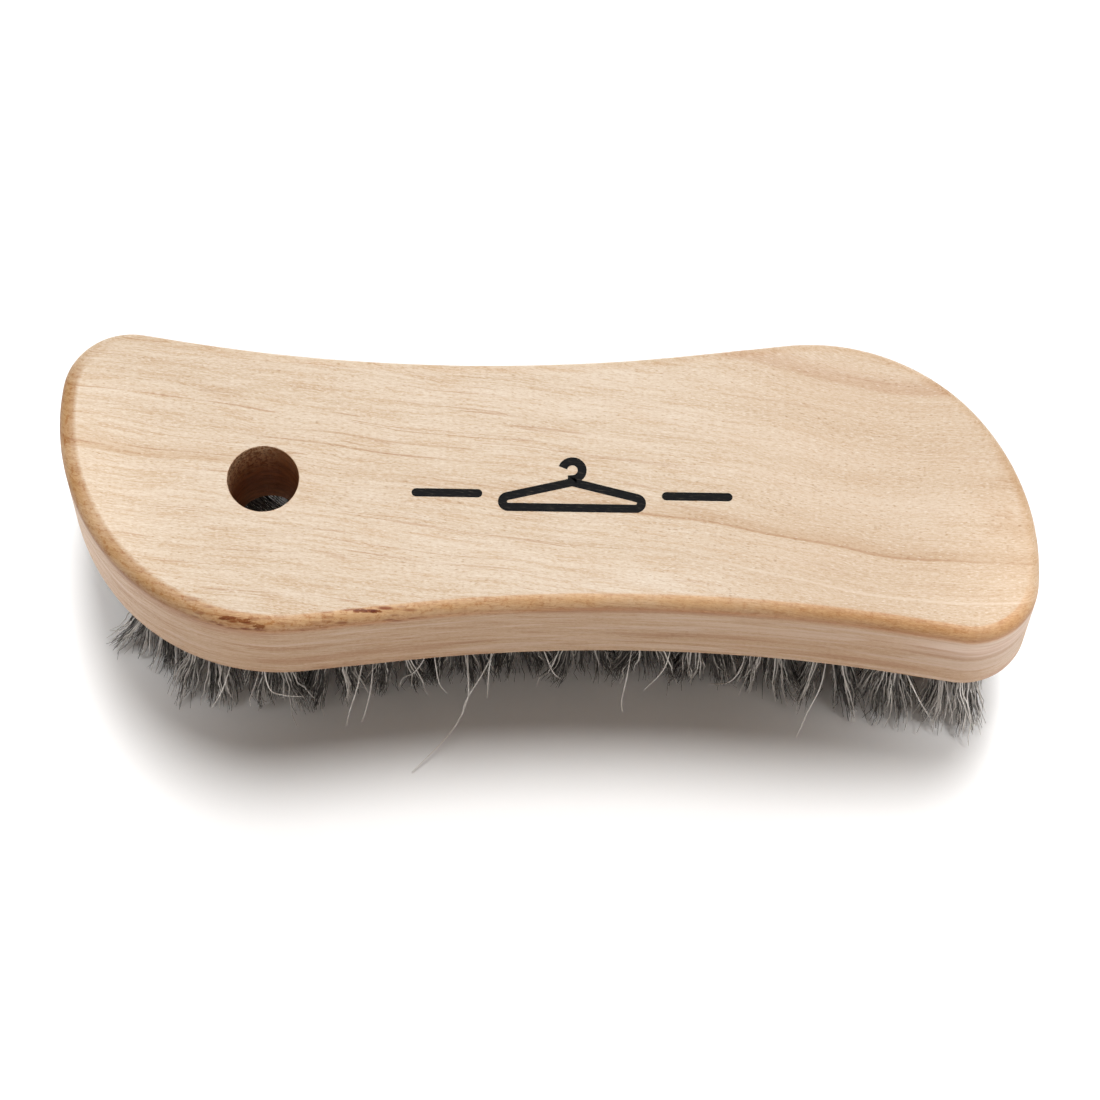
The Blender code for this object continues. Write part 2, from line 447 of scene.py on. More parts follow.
def scorch_marks(g, x, y, up):
    """The few strongest scorched dashes, each a ragged spot along the edge."""
    ragged = g.noise(g.vector(g.times(x, 1.3), g.times(y, 3.0), 2.0), 2.0, 0.6)
    total = 0.0
    for place_x, place_y, half_length in SCORCH_MARKS:
        spot = g.bell(g.offset(x, place_x, half_length), g.offset(y, place_y, SCORCH_HALF_WIDTH))
        total = g.add(spot, total)
    broken = g.times(total, g.smooth(ragged, 0.30, 0.55, 0.4, 1.0))
    return g.times(g.smooth(broken, 0.30, 0.60), g.smooth(up, 0.2, 0.5))


def add_burnish(g, colour, place, up):
    """The sanded top edge is burnished golden brown and freckled. Its scorched dashes gather in two places
    near the front of the hanging hole."""
    x, y, z = place
    # The stored amount is fainter towards the back: a painted highlight where the light from behind falls on
    # the edge.
    edge = g.node("ShaderNodeAttribute", attribute_name="burnish_and_highlight").outputs["Fac"]
    patch = g.noise(g.scaled((x, y, z), (0.10, 0.10, 0.2)), 3.0, 0.6)
    worn = g.times(edge, g.smooth(patch, 0.25, 0.60, 0.75, 1.0))
    golden = g.mix(g.smooth(x, -72.0, -40.0), (0.66, 0.485, 0.29), (0.94, 0.715, 0.485))
    colour = g.tint(worn, colour, golden)
    freckle = g.noise(g.scaled((x, y, z), (0.9, 0.9, 1.6)), 3.0, 0.7)
    freckled = g.times(g.smooth(freckle, 0.50, 0.66), g.smooth(x, 25.0, -30.0, 0.55, 1.0))
    colour = g.tint(g.times(freckled, edge), colour, (0.80, 0.64, 0.48))
    gather = g.add(g.bell(g.offset(x, -51.5, 6.5)), g.bell(g.offset(x, -28.5, 7.5)))
    gather = g.times(gather, g.smooth(y, -5.0, -15.0))
    dashes = fleck(g, (g.add(x, 7.0), y, z), 3.4, 0.85, 1.2, 0.50)
    scorch = g.times(dashes, g.math("MINIMUM", g.add(gather, 0.10), 1.0))
    colour = g.tint(g.times(scorch, edge), colour, (0.46, 0.23, 0.12))
    return g.tint(scorch_marks(g, x, y, up), colour, (0.47, 0.27, 0.15))


def add_hole_wall(g, colour, place, up):
    """(colour, torn relief). The hanging hole's wall is dark brown, partly scorched by the drill and partly
    painted shade inside the hole. The drill tore the end grain on one side, which stays pale."""
    x, y, z = place
    from_x = g.add(x, -float(HANGING_HOLE_PLACE[0]))
    from_y = g.add(y, -float(HANGING_HOLE_PLACE[1]))
    radius = g.math("SQRT", g.add(g.times(from_x, from_x), g.times(from_y, from_y)))
    on_wall = g.smooth(radius, HANGING_HOLE_RADIUS + 0.5, HANGING_HOLE_RADIUS + 0.25)
    in_hole = g.times(on_wall, g.smooth(up, 0.9, 0.6))
    tear = g.noise(g.scaled((x, y, z), (1.7, 1.7, 1.4)), 3.0, 0.75)
    torn_side = g.smooth(g.add(g.times(from_y, 0.6), g.times(from_x, -1.0)), -0.5, 4.5)
    torn = g.times(g.times(g.smooth(tear, 0.43, 0.55), torn_side), g.smooth(z, 28.0, 38.0))
    char = g.smooth(g.noise(g.scaled((x, y, z), (0.3, 0.3, 0.9))), 0.3, 0.7)
    # The wall's dark brown: the drill's scorch, darkened further as painted shade inside the hole.
    scorch_and_shade = g.ramp(char, [(0.0, (0.33, 0.155, 0.070)), (1.0, (0.50, 0.25, 0.12))])
    wall = g.mix(g.times(torn, 0.9), scorch_and_shade, (0.92, 0.68, 0.45))
    return g.mix(in_hole, colour, wall), g.times(tear, in_hole)


def make_beech():
    g = Graph("beech")
    place = g.position()
    x, y, z = place
    across = grain_line(g, x, y, z)
    normal = g.normal()
    colour, fibre = add_figure(g, x, across, z)
    colour = add_main_ring(g, colour, x, across)
    colour = add_other_rings(g, colour, x, across)
    more_golden_far_end = g.smooth(x, 15.0, 50.0)
    colour = g.tint(more_golden_far_end, colour, (0.97, 0.93, 0.89))
    colour, small, large = add_pores(g, colour, x, across, z)
    colour = add_stain(g, colour, x, y)
    colour = add_sides(g, colour, place, across, normal)
    colour = add_burnish(g, colour, place, normal[2])
    colour, torn = add_hole_wall(g, colour, place, normal[2])
    g.put(g.shader.inputs["Base Color"], colour)
    rough = g.add(g.times(g.noise(g.vector(g.times(x, 0.5), g.times(across, 2.0), z), 2.0), 0.16), 0.42)
    g.put(g.shader.inputs["Roughness"], g.add(rough, g.times(small, 0.15)))
    g.shader.inputs["Specular IOR Level"].default_value = 0.35
    relief = g.add(g.times(fibre, 0.8), g.times(g.add(small, large), -0.7))
    g.bump(g.add(relief, g.times(torn, 6.0)), 0.06, 0.8)
    return g.material


def make_horsehair():
    """Grey hair: each hair has its own shade of grey, and is painted darker towards its root, as shade under
    the block.
    """
    g = Graph("horsehair")
    shade = g.node("ShaderNodeAttribute", attribute_name="shade").outputs["Fac"]
    along = g.node("ShaderNodeAttribute", attribute_name="along").outputs["Fac"]
    banding = g.noise(g.scaled(g.position(), (1.1, 1.1, 0.35)), 2.0)
    tone = g.add(shade, g.times(g.add(banding, -0.5), 0.25))
    stops = [(0.0, (0.032, 0.028, 0.025)), (0.35, (0.098, 0.088, 0.080)), (0.7, (0.37, 0.34, 0.315)),
             (0.9, (0.66, 0.62, 0.58)), (1.0, (0.90, 0.86, 0.81))]
    # Painted shade: each hair darkens towards its root, inside its hole and just under the block.
    colour = g.tint(g.smooth(along, 0.40, 0.10), g.ramp(tone, stops), (0.50, 0.48, 0.47))
    g.put(g.shader.inputs["Base Color"], colour)
    g.put(g.shader.inputs["Roughness"], g.add(g.times(banding, 0.25), 0.28))
    g.shader.inputs["Specular IOR Level"].default_value = 0.4
    return g.material


def make_anchor_steel():
    """Bright wire with fine drawing marks."""
    g = Graph("anchor_steel")
    drawn = g.noise(g.scaled(g.position(), (3.0, 3.0, 14.0)), 3.0)
    colour = g.ramp(drawn, [(0.3, (0.46, 0.45, 0.43)), (0.7, (0.66, 0.65, 0.63))])
    g.put(g.shader.inputs["Base Color"], colour)
    g.put(g.shader.inputs["Roughness"], g.add(g.times(drawn, 0.3), 0.2))
    g.shader.inputs["Metallic"].default_value = 1.0
    g.bump(drawn, 0.01)
    return g.material


def make_ink():
    """Black stamping ink. The pores and fibres of the wood show through it."""
    g = Graph("ink")
    x, y, z = g.position()
    across = grain_line(g, x, y, z)
    fibre = g.noise(g.vector(g.times(x, 0.6), g.times(across, 5.0), 1.0), 3.0, 0.65)
    stops = [(0.47, (0.004, 0.004, 0.005)), (0.58, (0.010, 0.010, 0.009)), (0.68, (0.045, 0.038, 0.032))]
    colour = g.ramp(fibre, stops)
    g.put(g.shader.inputs["Base Color"], colour)
    g.put(g.shader.inputs["Roughness"], g.add(g.times(fibre, 0.3), 0.50))
    g.shader.inputs["Specular IOR Level"].default_value = 0.08
    g.bump(fibre, 0.02)
    return g.material


def make_floor_white():
    """A matt floor, bright enough to render as pure white."""
    material = bpy.data.materials.new("floor_white")
    material.use_nodes = True
    tree = material.node_tree
    matt = tree.nodes.new("ShaderNodeBsdfDiffuse")
    matt.inputs["Color"].default_value = (1.02, 1.02, 1.02, 1.0)
    tree.links.new(matt.outputs[0], tree.nodes["Material Output"].inputs["Surface"])
    return material


# ---- the block


def ring_levels(bottom, top):
    """(inset, height) of each ring of points, up the block's lower edge and side and over its top edge."""
    levels = [(LOWER_EDGE + 2.0, bottom), (LOWER_EDGE + 0.3, bottom)]
    lower_steps, side_steps, upper_steps = 3, 8, 14
    for angle in np.radians(np.linspace(0, 90, lower_steps + 1)):
        levels.append((LOWER_EDGE * (1 - math.sin(angle)), bottom + LOWER_EDGE * (1 - math.cos(angle))))
    side_low, side_high = bottom + LOWER_EDGE, top - ROUND_OVER
    levels += [(0.0, height) for height in np.linspace(side_low, side_high - 1.2, side_steps + 1)[1:]]
    levels.append((0.0, side_high - 0.6))
    for angle in np.radians(np.linspace(0, 90, upper_steps + 1)):
        levels.append((ROUND_OVER * (1 - math.cos(angle)), side_high + ROUND_OVER * math.sin(angle)))
    return levels + [(ROUND_OVER + further, top) for further in (0.25, 0.6, 1.0, 2.0)]


def hand_sanding(count, rng):
    """A slow wander around a closed line of this many points, of about plus or minus one."""
    turn = np.arange(count) * FULL_TURN / count
    waves = [(number, rng.normal(), rng.uniform(0, FULL_TURN)) for number in range(3, 60)]
    total = sum(size * np.cos(number * turn + phase) / number**0.6 for number, size, phase in waves)
    return total / np.abs(total).max()


def lathe(bm, place, profile, sides):
    """A closed turned body from (radius, height) pairs, listed from the lowest."""
    rings = []
    for radius, height in profile:
        ring = arc_points(place, radius, 0, 360, sides + 1)[:-1]
        rings.append([bm.verts.new((x, y, height)) for x, y in ring])
    for lower, upper in zip(rings, rings[1:]):
        for i in range(sides):
            j = (i + 1) % sides
            bm.faces.new((lower[i], lower[j], upper[j], upper[i]))
    bm.faces.new(reversed(rings[0]))
    bm.faces.new(rings[-1])


def make_hole_cutter(tufts, bottom, top):
    """The hanging hole, with both of its rims broken, and the tufts' blind holes with their drill points."""
    bm = bmesh.new()
    radius, end = HANGING_HOLE_RADIUS, bottom + TUFT_HOLE_DEPTH
    flare = HANGING_RIM + CUT_PAST
    through = [(radius + flare, bottom - CUT_PAST), (radius, bottom + HANGING_RIM)]
    through += [(radius, top - HANGING_RIM), (radius + flare, top + CUT_PAST)]
    lathe(bm, HANGING_HOLE_PLACE, through, 96)
    radius = TUFT_HOLE_RADIUS
    blind = [(radius + TUFT_RIM + CUT_PAST, bottom - CUT_PAST), (radius, bottom + TUFT_RIM)]
    blind += [(radius, end), (0.3, end + DRILL_POINT)]
    for tuft in tufts.values():
        lathe(bm, tuft["root"], blind, 28)
    bmesh.ops.scale(bm, vec=Vector((MM, MM, MM)), verts=bm.verts)
    mesh = bpy.data.meshes.new("hole_cutter")
    bm.to_mesh(mesh)
    bm.free()
    cutter = bpy.data.objects.new("hole_cutter", mesh)
    bpy.context.scene.collection.objects.link(cutter)
    return cutter


def store_burnish_and_highlight(mesh, points, normals, top):
    """Store how burnished every vertex is, from 0 to 1. The burnished colour stays on the rounded edge, and
    is strongest at the front and at the end with the hanging hole. It fades towards the back: a painted
    highlight where the light from behind falls on the edge."""
    values = []
    for vertex in mesh.vertices:
        place = np.array(vertex.co[:2]) / MM
        nearest = np.linalg.norm(points - place, axis=1).argmin()
        inset = float((points[nearest] - place) @ normals[nearest])
        wider = np.interp(place[0], [-60.0, -40.0], [0.3, 0.0])
        over = np.interp(inset, [ROUND_OVER + 0.05 + wider, ROUND_OVER + 0.3 + 2 * wider], [1.0, 0.0])
        under = np.interp(vertex.co.z / MM, [top - ROUND_OVER - 1.0, top - ROUND_OVER + 0.1], [0.0, 1.0])
        # Painted highlight: less burnished colour where the edge faces the back and the light from behind.
        facing = np.interp(normals[nearest] @ FULLEST_BURNISH_FACING, [-0.35, 0.35], [0.12, 1.0])
        values.append(over * under * facing)
    mesh.attributes.new("burnish_and_highlight", "FLOAT", "POINT").data.foreach_set("value", values)


def block_body(material, points, normals, bottom, top):
    """The block without its holes."""
    wander = hand_sanding(len(points), np.random.default_rng(11))
    levels = ring_levels(bottom, top)
    vertices = []
    for inset, height in levels:
        rounding = np.clip((height - (top - ROUND_OVER)) / ROUND_OVER, 0, 1)
        extra = SANDING_WANDER * wander * rounding**2 * (inset <= ROUND_OVER)
        ring = points - normals * (inset + extra)[:, None]
        vertices.append(np.column_stack([ring, np.full(len(ring), height)]))
    count = len(points)
    faces = []
    for level in range(len(levels) - 1):
        start = level * count
        for i in range(count):
            j = (i + 1) % count
            faces.append((start + i, start + j, start + count + j, start + count + i))
    faces.append(tuple(range(count))[::-1])
    faces.append(tuple(range((len(levels) - 1) * count, len(levels) * count)))
    return mesh_object("beech_block", np.concatenate(vertices), faces, material)


def make_block(tufts, material):
    """The block, redrawn with a fine outline, a hand-sanded rounded edge and clean holes."""
    low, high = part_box("handle_block")
    bottom, top = low.z / MM, high.z / MM
    points, normals = outline(spacing=0.8)
    block = block_body(material, points, normals, bottom, top)
    cutter = make_hole_cutter(tufts, bottom, top)
    holes = block.modifiers.new("holes", "BOOLEAN")
    holes.operation = "DIFFERENCE"
    holes.solver = "EXACT"
    holes.object = cutter
    apply_modifiers(block)
    bpy.data.objects.remove(cutter)
    store_burnish_and_highlight(block.data, points, normals, top)
    block.data.shade_smooth()
    block.data.set_sharp_from_angle(angle=math.radians(28))
    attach(block, "root")
    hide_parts("handle_block")


# ---- the printed ornament


def ribbon(path, width, closed):
    """(left, right) edges of a flat line of this width, with mitred corners."""
    path = np.asarray(path, float)
    before = np.roll(path, 1, axis=0)
    after = np.roll(path, -1, axis=0)
    if not closed:
        before[0] = 2 * path[0] - path[1]
        after[-1] = 2 * path[-1] - path[-2]
    first, second = path - before, after - path
    first /= np.linalg.norm(first, axis=1)[:, None]
    second /= np.linalg.norm(second, axis=1)[:, None]
    mean = first + second
    mean /= np.linalg.norm(mean, axis=1)[:, None]
    side = np.column_stack([-mean[:, 1], mean[:, 0]])
    mitre = np.asarray(width) / 2 / np.clip((mean * first).sum(axis=1), 0.35, 1.0)
    return path + side * mitre[:, None], path - side * mitre[:, None]


def hanger_paths():
    """(path, width, closed) of each line of a plain coat hanger between two round-ended rules."""
    half, low, corner, apex = 10.6, -3.0, 1.0, 0.7
    slope = math.degrees(math.atan2(half, apex - low - corner))
    triangle = [(0.0, apex)]
    triangle += arc_points((-half, low), corner, 180 - slope, 270, 12)
    triangle += arc_points((half, low), corner, -90, slope, 12)
    hook = [(0.0, apex), (0.0, apex + 0.5)] + arc_points((0.0, apex + 2.2), 1.65, -90, 165, 20)
    paths = [(triangle, ORNAMENT_LINE, True), (hook, ORNAMENT_LINE, False)]

    inner, outer, rule_height, cap_points = 15.0, 26.8, -1.6, 7
    turn = np.linspace(0, math.pi / 2, cap_points)
    widening = np.sin(turn[1:])
    width = ORNAMENT_LINE * np.concatenate([[0.15], widening, widening[::-1], [0.15]])
    cap = ORNAMENT_LINE / 2 * (1 - np.cos(turn))
    along = np.concatenate([inner + cap, outer - cap[::-1]])
    for side in (-1, 1):
        paths.append((np.column_stack([side * along, np.full(len(along), rule_height)]), width, False))
    return paths


def strip_faces(start, count, closed):
    """Faces of a flat bar whose lower left, lower right, upper left and upper right points follow start."""
    low_left, low_right, high_left, high_right = (start + k * count for k in range(4))
    faces = []
    for i in range(count if closed else count - 1):
        j = (i + 1) % count
        faces.append((high_left + i, high_right + i, high_right + j, high_left + j))
        faces.append((low_left + j, low_right + j, low_right + i, low_left + i))
        faces.append((low_left + i, high_left + i, high_left + j, low_left + j))
        faces.append((low_right + j, high_right + j, high_right + i, low_right + i))
    if not closed:
        for i, step in ((0, 1), (count - 1, -1)):
            faces.append((low_left + i, low_right + i, high_right + i, high_left + i)[::step])
    return faces


def make_ornament(material):
    """Ink on the block's top face: closed bodies a few hundredths of a millimetre thick."""
    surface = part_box("handle_block")[1].z / MM
    vertices, faces = [], []
    for layer, (path, width, closed) in enumerate(hanger_paths()):
        left, right = ribbon(path, width, closed)
        faces += strip_faces(len(vertices), len(left), closed)
        for height in (surface - INK_DEPTH, surface + INK_THICKNESS + INK_LAYER * layer):
            for edge in (left, right):
                vertices += [(*(p + ORNAMENT_PLACE), height) for p in edge]
    ornament = mesh_object("printed_ornament", vertices, faces, material)
    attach(ornament, "root")


# ---- the hair


def read_tufts(nodes):
    """Where each CAD tuft goes into the block, and which way is outwards and along its row there."""
    points, normals = outline(spacing=1.0)
    tufts = {}
    for name, node in sorted(nodes.items()):
        if not name.startswith("tuft_"):
            continue
        corners = np.array([v.co for v in node.data.vertices]) / MM
        high = corners[:, 2].max()
        root = corners[corners[:, 2] > high - 0.1][:, :2].mean(axis=0)
        outwards = normals[np.linalg.norm(points - root, axis=1).argmin()]
        row = np.array([-outwards[1], outwards[0]])
        tufts[name] = {"root": root, "outwards": outwards, "row": row, "outer": "outer" in name}
    return tufts


def disc(rng, count, radius):
    """Random places in a disc."""
    angle = rng.uniform(0, FULL_TURN, count)
    distance = radius * np.sqrt(rng.uniform(0, 1, count))
    return np.column_stack([distance * np.cos(angle), distance * np.sin(angle)])


def tubes(strands, radii, sides=3):
    """(vertices, quads, caps) of thin tubes along strands, an array of (strand, point, xyz)."""
    count, steps, _ = strands.shape
    along = np.gradient(strands, axis=1)
    along /= np.linalg.norm(along, axis=2, keepdims=True) + TINY
    first = np.cross(along, TUBE_SIDE_HINT)
    first /= np.linalg.norm(first, axis=2, keepdims=True) + TINY
    second = np.cross(along, first)
    angle = FULL_TURN * np.arange(sides) / sides
    ring = first[:, :, None] * np.cos(angle)[:, None] + second[:, :, None] * np.sin(angle)[:, None]
    vertices = strands[:, :, None] + ring * radii[:, :, None, None]
    index = np.arange(count * steps * sides).reshape(count, steps, sides)
    here, there = index[:, :-1], index[:, 1:]
    quads = np.stack([here, np.roll(here, -1, axis=2), np.roll(there, -1, axis=2), there], axis=-1)
    caps = np.concatenate([index[:, 0, ::-1], index[:, -1]])
    return vertices.reshape(-1, 3), quads.reshape(-1, 4), caps


def hair_mesh(name, strands, radii, shades, material):
    """One object of many closed tubes, with each hair's shade and the distance along it as attributes."""
    vertices, quads, caps = tubes(strands, radii)
    count, steps, _ = strands.shape
    sides = caps.shape[1]
    mesh = bpy.data.meshes.new(name)
    mesh.vertices.add(len(vertices))
    mesh.vertices.foreach_set("co", (vertices * MM).astype(np.float32).ravel())
    mesh.loops.add(quads.size + caps.size)
    mesh.loops.foreach_set("vertex_index", np.concatenate([quads.ravel(), caps.ravel()]).astype(np.int32))
    totals = np.concatenate([np.full(len(quads), 4), np.full(len(caps), sides)]).astype(np.int32)
    mesh.polygons.add(len(totals))
    starts = np.concatenate([[0], np.cumsum(totals)[:-1]]).astype(np.int32)
    mesh.polygons.foreach_set("loop_start", starts)
    mesh.update(calc_edges=True)
    mesh.shade_smooth()
    shade = np.repeat(shades, steps * sides)
    along = np.tile(np.repeat(np.linspace(0, 1, steps), sides), count)
    for attribute, values in (("shade", shade), ("along", along)):
        layer = mesh.attributes.new(attribute, "FLOAT", "POINT")
        layer.data.foreach_set("value", values.astype(np.float32))
    mesh.materials.append(material)
    obj = bpy.data.objects.new(name, mesh)
    bpy.context.scene.collection.objects.link(obj)
    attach(obj, "root")
    return obj


def tuft_lean(tuft):
    """How far towards an end the tuft is, how squarely it faces the front or the back, and how far its tips
    stand off from its root. The hair leans away from the brush's middle, most near the two ends."""
    x, y = tuft["root"]
    outwards = tuft["outwards"]
    towards_toe = -x * np.sign(y)
    far = abs(x) / FARTHEST_TUFT
    facing = np.clip((outwards[1] ** 2 - 0.15) / 0.35, 0, 1)
    endwards, sideways = HEEL_LEAN if towards_toe < 0 else TOE_LEAN
    lean = np.array([np.sign(x) * endwards * far**2.5, 0.0]) * facing
    lean += outwards * (facing * (2.0 + sideways * far**1.5) - 1.9 * (1 - facing))
    return far, facing, lean if tuft["outer"] else lean * 0.6


def draw_locks(rng, stretch):
    """Where each lock leaves its hole and where its tip stands, as (outwards, along the row) from the root,
    then the phase and the length of its two waves. The locks take turns between the tuft's two legs."""
    leg = np.where(np.arange(LOCKS) % 2, 1.0, -1.0)
    exits = disc(rng, LOCKS, 1.25) * [1.6, 1.0]
    exits[:, 1] += leg * LEG_EXIT
    tips = exits * [1.1, 1.5] + disc(rng, LOCKS, 2.4) * stretch
    tips[:, 1] += leg * (LEG_TIP - LEG_EXIT)
    return exits, tips, rng.uniform(0, FULL_TURN, (LOCKS, 2)), rng.uniform(10.0, 20.0, (LOCKS, 2))


def add_waves(rng, local, height, outside, phase, wave, free):
    """Bend the hairs: slow waves that the hairs of a lock share, and each hair's own finer crimp."""
    count = len(local)
    size = rng.uniform(0.25, 0.65, count)[:, None, None]
    local += size * np.sin(height / wave[:, None] * FULL_TURN + phase[:, None]) * outside**0.7
    own_turn = height * FULL_TURN / rng.uniform(3.2, 6.0, (count, 1, 2))
    own_size = np.where(free, 0.30, 0.12)[:, None, None] * rng.uniform(0.4, 1.2, (count, 1, 1))
    local += own_size * np.sin(own_turn + rng.uniform(0, FULL_TURN, (count, 1, 2))) * outside


def splay_and_paleness(rng, tuft, count, lean, pale_chance):
    """How far each tip stands off from the tuft's own place, and each hair's chance of being pale. Beside the
    gap that the hanging hole leaves, half of the hairs lean into the gap, and those are all dark: painted
    shade under the brush, where it shows through the hanging hole."""
    splay = lean * rng.uniform(0.7, 1.2, count)[:, None]
    to_gap = GAP_BY_HANGING_HOLE - tuft["root"]
    if np.linalg.norm(to_gap) >= GAP_REACH:
        return splay, pale_chance
    filling = rng.uniform(0, 1, count) < 0.5
    splay = np.where(filling[:, None], to_gap * rng.uniform(0.25, 0.85, count)[:, None], splay)
    # The hairs that fill the gap are never pale: painted shade seen through the hanging hole.
    return splay, np.where(filling, 0.0, pale_chance)


def tuft_strands(rng, tuft, count, block_bottom):
    """(strands, radii, shades) of one tuft: two legs either side of its anchor, each leg in several locks,
    and some free hairs that stray from theirs."""
    far, facing, lean = tuft_lean(tuft)
    stretch = [0.45 + 0.25 * facing + 0.15 * facing * far, 1.0]
    exits, tips, phases, waves = draw_locks(rng, stretch)
    lock = rng.integers(0, LOCKS, count)
    free = rng.uniform(0, 1, count) < FREE_HAIRS
    exit_place = exits[lock] + disc(rng, count, 0.75)
    tip_place = tips[lock] + disc(rng, count, 1.0) * np.where(free, 3.2, 0.8)[:, None] * stretch
    tip_height = np.clip(rng.gamma(1.5, 2.0, count), 0.15, 12.0)
    t = np.linspace(0, 1, HAIR_POINTS)
    start_height = block_bottom + HAIR_IN_HOLE
    height = (start_height + (tip_height[:, None] - start_height) * t)[:, :, None]
    outside = np.clip((block_bottom - height) / block_bottom, 0, 1)
    shape = outside**1.25
    local = exit_place[:, None] + (tip_place - exit_place)[:, None] * shape
    add_waves(rng, local, height, outside, phases[lock], waves[lock], free)
    pale_chance = np.where(free, 0.20 + 0.42 * far**1.6, 0.05 + 0.30 * far**1.6)
    splay, pale_chance = splay_and_paleness(rng, tuft, count, lean, pale_chance)
    across, along = local[:, :, :1] * tuft["outwards"], local[:, :, 1:] * tuft["row"]
    plane = tuft["root"] + across + along + splay[:, None] * shape
    strands = np.concatenate([plane, height], axis=2)
    pale = rng.uniform(0, 1, count) < pale_chance
    shades = np.where(pale, rng.uniform(0.76, 1.0, count), 0.58 * rng.uniform(0.0, 1.0, count) ** 1.5)
    thickness = np.where(pale, rng.uniform(0.12, 0.16, count), rng.uniform(0.08, 0.12, count))
    radii = thickness[:, None] * np.interp(t, [0, 0.75, 1.0], [1.0, 0.9, 0.35])
    return strands, radii, shades


def make_tufts(tufts, material, block_bottom):
    """One piece of hair for each CAD tuft."""
    for number, (name, tuft) in enumerate(tufts.items()):
        rng = np.random.default_rng(100 + number)
        count = OUTER_HAIRS if tuft["outer"] else INNER_HAIRS
        strands, radii, shades = tuft_strands(rng, tuft, count, block_bottom)
        hair = hair_mesh(name.replace("tuft", "hair"), strands, radii, shades, material)
        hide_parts(name)


# Long hairs that stand out of the front of the brush: the points each one passes through.
LONG_HAIRS = (
    ((-13.0, -20.0, 21.0), (-12.8, -24.6, 14.0), (-13.0, -26.9, 8.0), (-15.9, -31.1, 3.0),
     (-22.4, -37.5, 0.4)),
    ((48.4, -20.5, 21.0), (47.6, -25.0, 13.0), (45.6, -27.5, 5.0), (44.2, -30.0, 0.4)),
    ((-47.9, -22.5, 21.0), (-47.4, -25.6, 18.0), (-46.6, -27.4, 13.0), (-44.4, -28.2, 12.5),
     (-40.9, -28.5, 12.5)),
    ((-20.6, -20.0, 21.0), (-20.1, -22.7, 18.0), (-22.0, -23.4, 12.0), (-24.1, -23.4, 9.0),
     (-24.8, -23.4, 5.0)),
    ((-19.0, -20.0, 21.0), (-18.0, -23.6, 9.0), (-16.6, -23.7, 3.0)),
    ((-8.3, -19.0, 21.0), (-9.3, -22.9, 11.0), (-9.6, -24.0, 2.0)),
    ((-1.4, -18.5, 21.0), (1.5, -22.5, 12.0), (3.2, -22.8, 8.0)),
    ((60.0, -22.0, 21.0), (64.6, -25.4, 9.0), (68.0, -27.5, 2.0)),
    ((67.0, -22.5, 21.0), (70.6, -26.1, 6.0), (71.3, -27.2, 1.0)),
    ((-29.9, -20.5, 21.0), (-31.6, -26.2, 13.0), (-33.2, -28.3, 6.0), (-34.0, -29.3, 1.0)),
    ((-28.7, -20.5, 21.0), (-29.3, -26.0, 13.0), (-30.4, -27.9, 6.0), (-31.3, -28.5, 1.0)),
    ((15.6, -18.0, 21.0), (14.4, -24.2, 14.0), (13.7, -25.6, 6.0), (13.9, -26.3, 2.0)),
    ((34.8, -18.5, 21.0), (33.9, -23.0, 16.0), (31.8, -24.4, 12.0), (28.4, -24.4, 11.0)),
    ((-51.8, -21.5, 21.0), (-54.4, -27.3, 14.0), (-57.1, -27.9, 5.0)),
    ((-6.2, -18.5, 21.0), (-10.3, -24.0, 13.5), (-13.2, -26.1, 6.0), (-14.0, -27.1, 1.0)),
    ((22.2, -18.0, 21.0), (20.9, -22.8, 15.0), (17.5, -24.5, 8.0)),
)


def smooth_path(points, steps):
    """Evenly many points on a smooth curve through a few."""
    points = np.asarray(points, float)
    ends = np.concatenate([[2 * points[0] - points[1]], points, [2 * points[-1] - points[-2]]])
    found = []
    for s in np.linspace(0, len(points) - 1 - 1e-6, steps):
        k, t = int(s), s - int(s)
        a, b, c, d = ends[k:k + 4]
        bend = (2 * a - 5 * b + 4 * c - d) * t**2 + (3 * b - a - 3 * c + d) * t**3
        found.append(0.5 * (2 * b + (c - a) * t + bend))
    return np.array(found)


def make_long_hairs(material):
    """The single hairs that stand out, clear of the floor and paler than the rest."""
    rng = np.random.default_rng(7)
    strands = np.array([smooth_path(points, LONG_HAIR_POINTS) for points in LONG_HAIRS])
    strands[:, :, 2] = np.maximum(strands[:, :, 2], 0.2)
    taper = np.interp(np.linspace(0, 1, LONG_HAIR_POINTS), [0, 0.7, 1.0], [1.0, 0.9, 0.5])
    radii = np.full((len(strands), 1), LONG_HAIR_RADIUS) * taper
    shades = rng.uniform(0.90, 1.05, len(strands))
    hair_mesh("long_hairs", strands, radii, shades, material)


# ---- the anchors


def anchor_mesh(name, tuft, middle_height, material):
    """One flat wire across a tuft's root, bowed a little upwards."""
    across = np.array([-tuft["row"][1], tuft["row"][0]])
    vertices, faces = [], []
    for s in np.linspace(-1, 1, ANCHOR_POINTS):
        centre = tuft["root"] + across * s * ANCHOR_LENGTH / 2
        rise = ANCHOR_BOW * (1 - s * s)
        for side, up in ((-1, -1), (1, -1), (1, 1), (-1, 1)):
            place = centre + tuft["row"] * side * ANCHOR_THICKNESS / 2
            vertices.append((*place, middle_height + rise + up * ANCHOR_WIDTH / 2))
    last = 4 * (ANCHOR_POINTS - 1)
    for start in range(0, last, 4):
        for k in range(4):
            j = (k + 1) % 4
            faces.append((start + k, start + j, start + 4 + j, start + 4 + k))
    faces.append((3, 2, 1, 0))
    faces.append((last, last + 1, last + 2, last + 3))
    return mesh_object(name, vertices, faces, material)


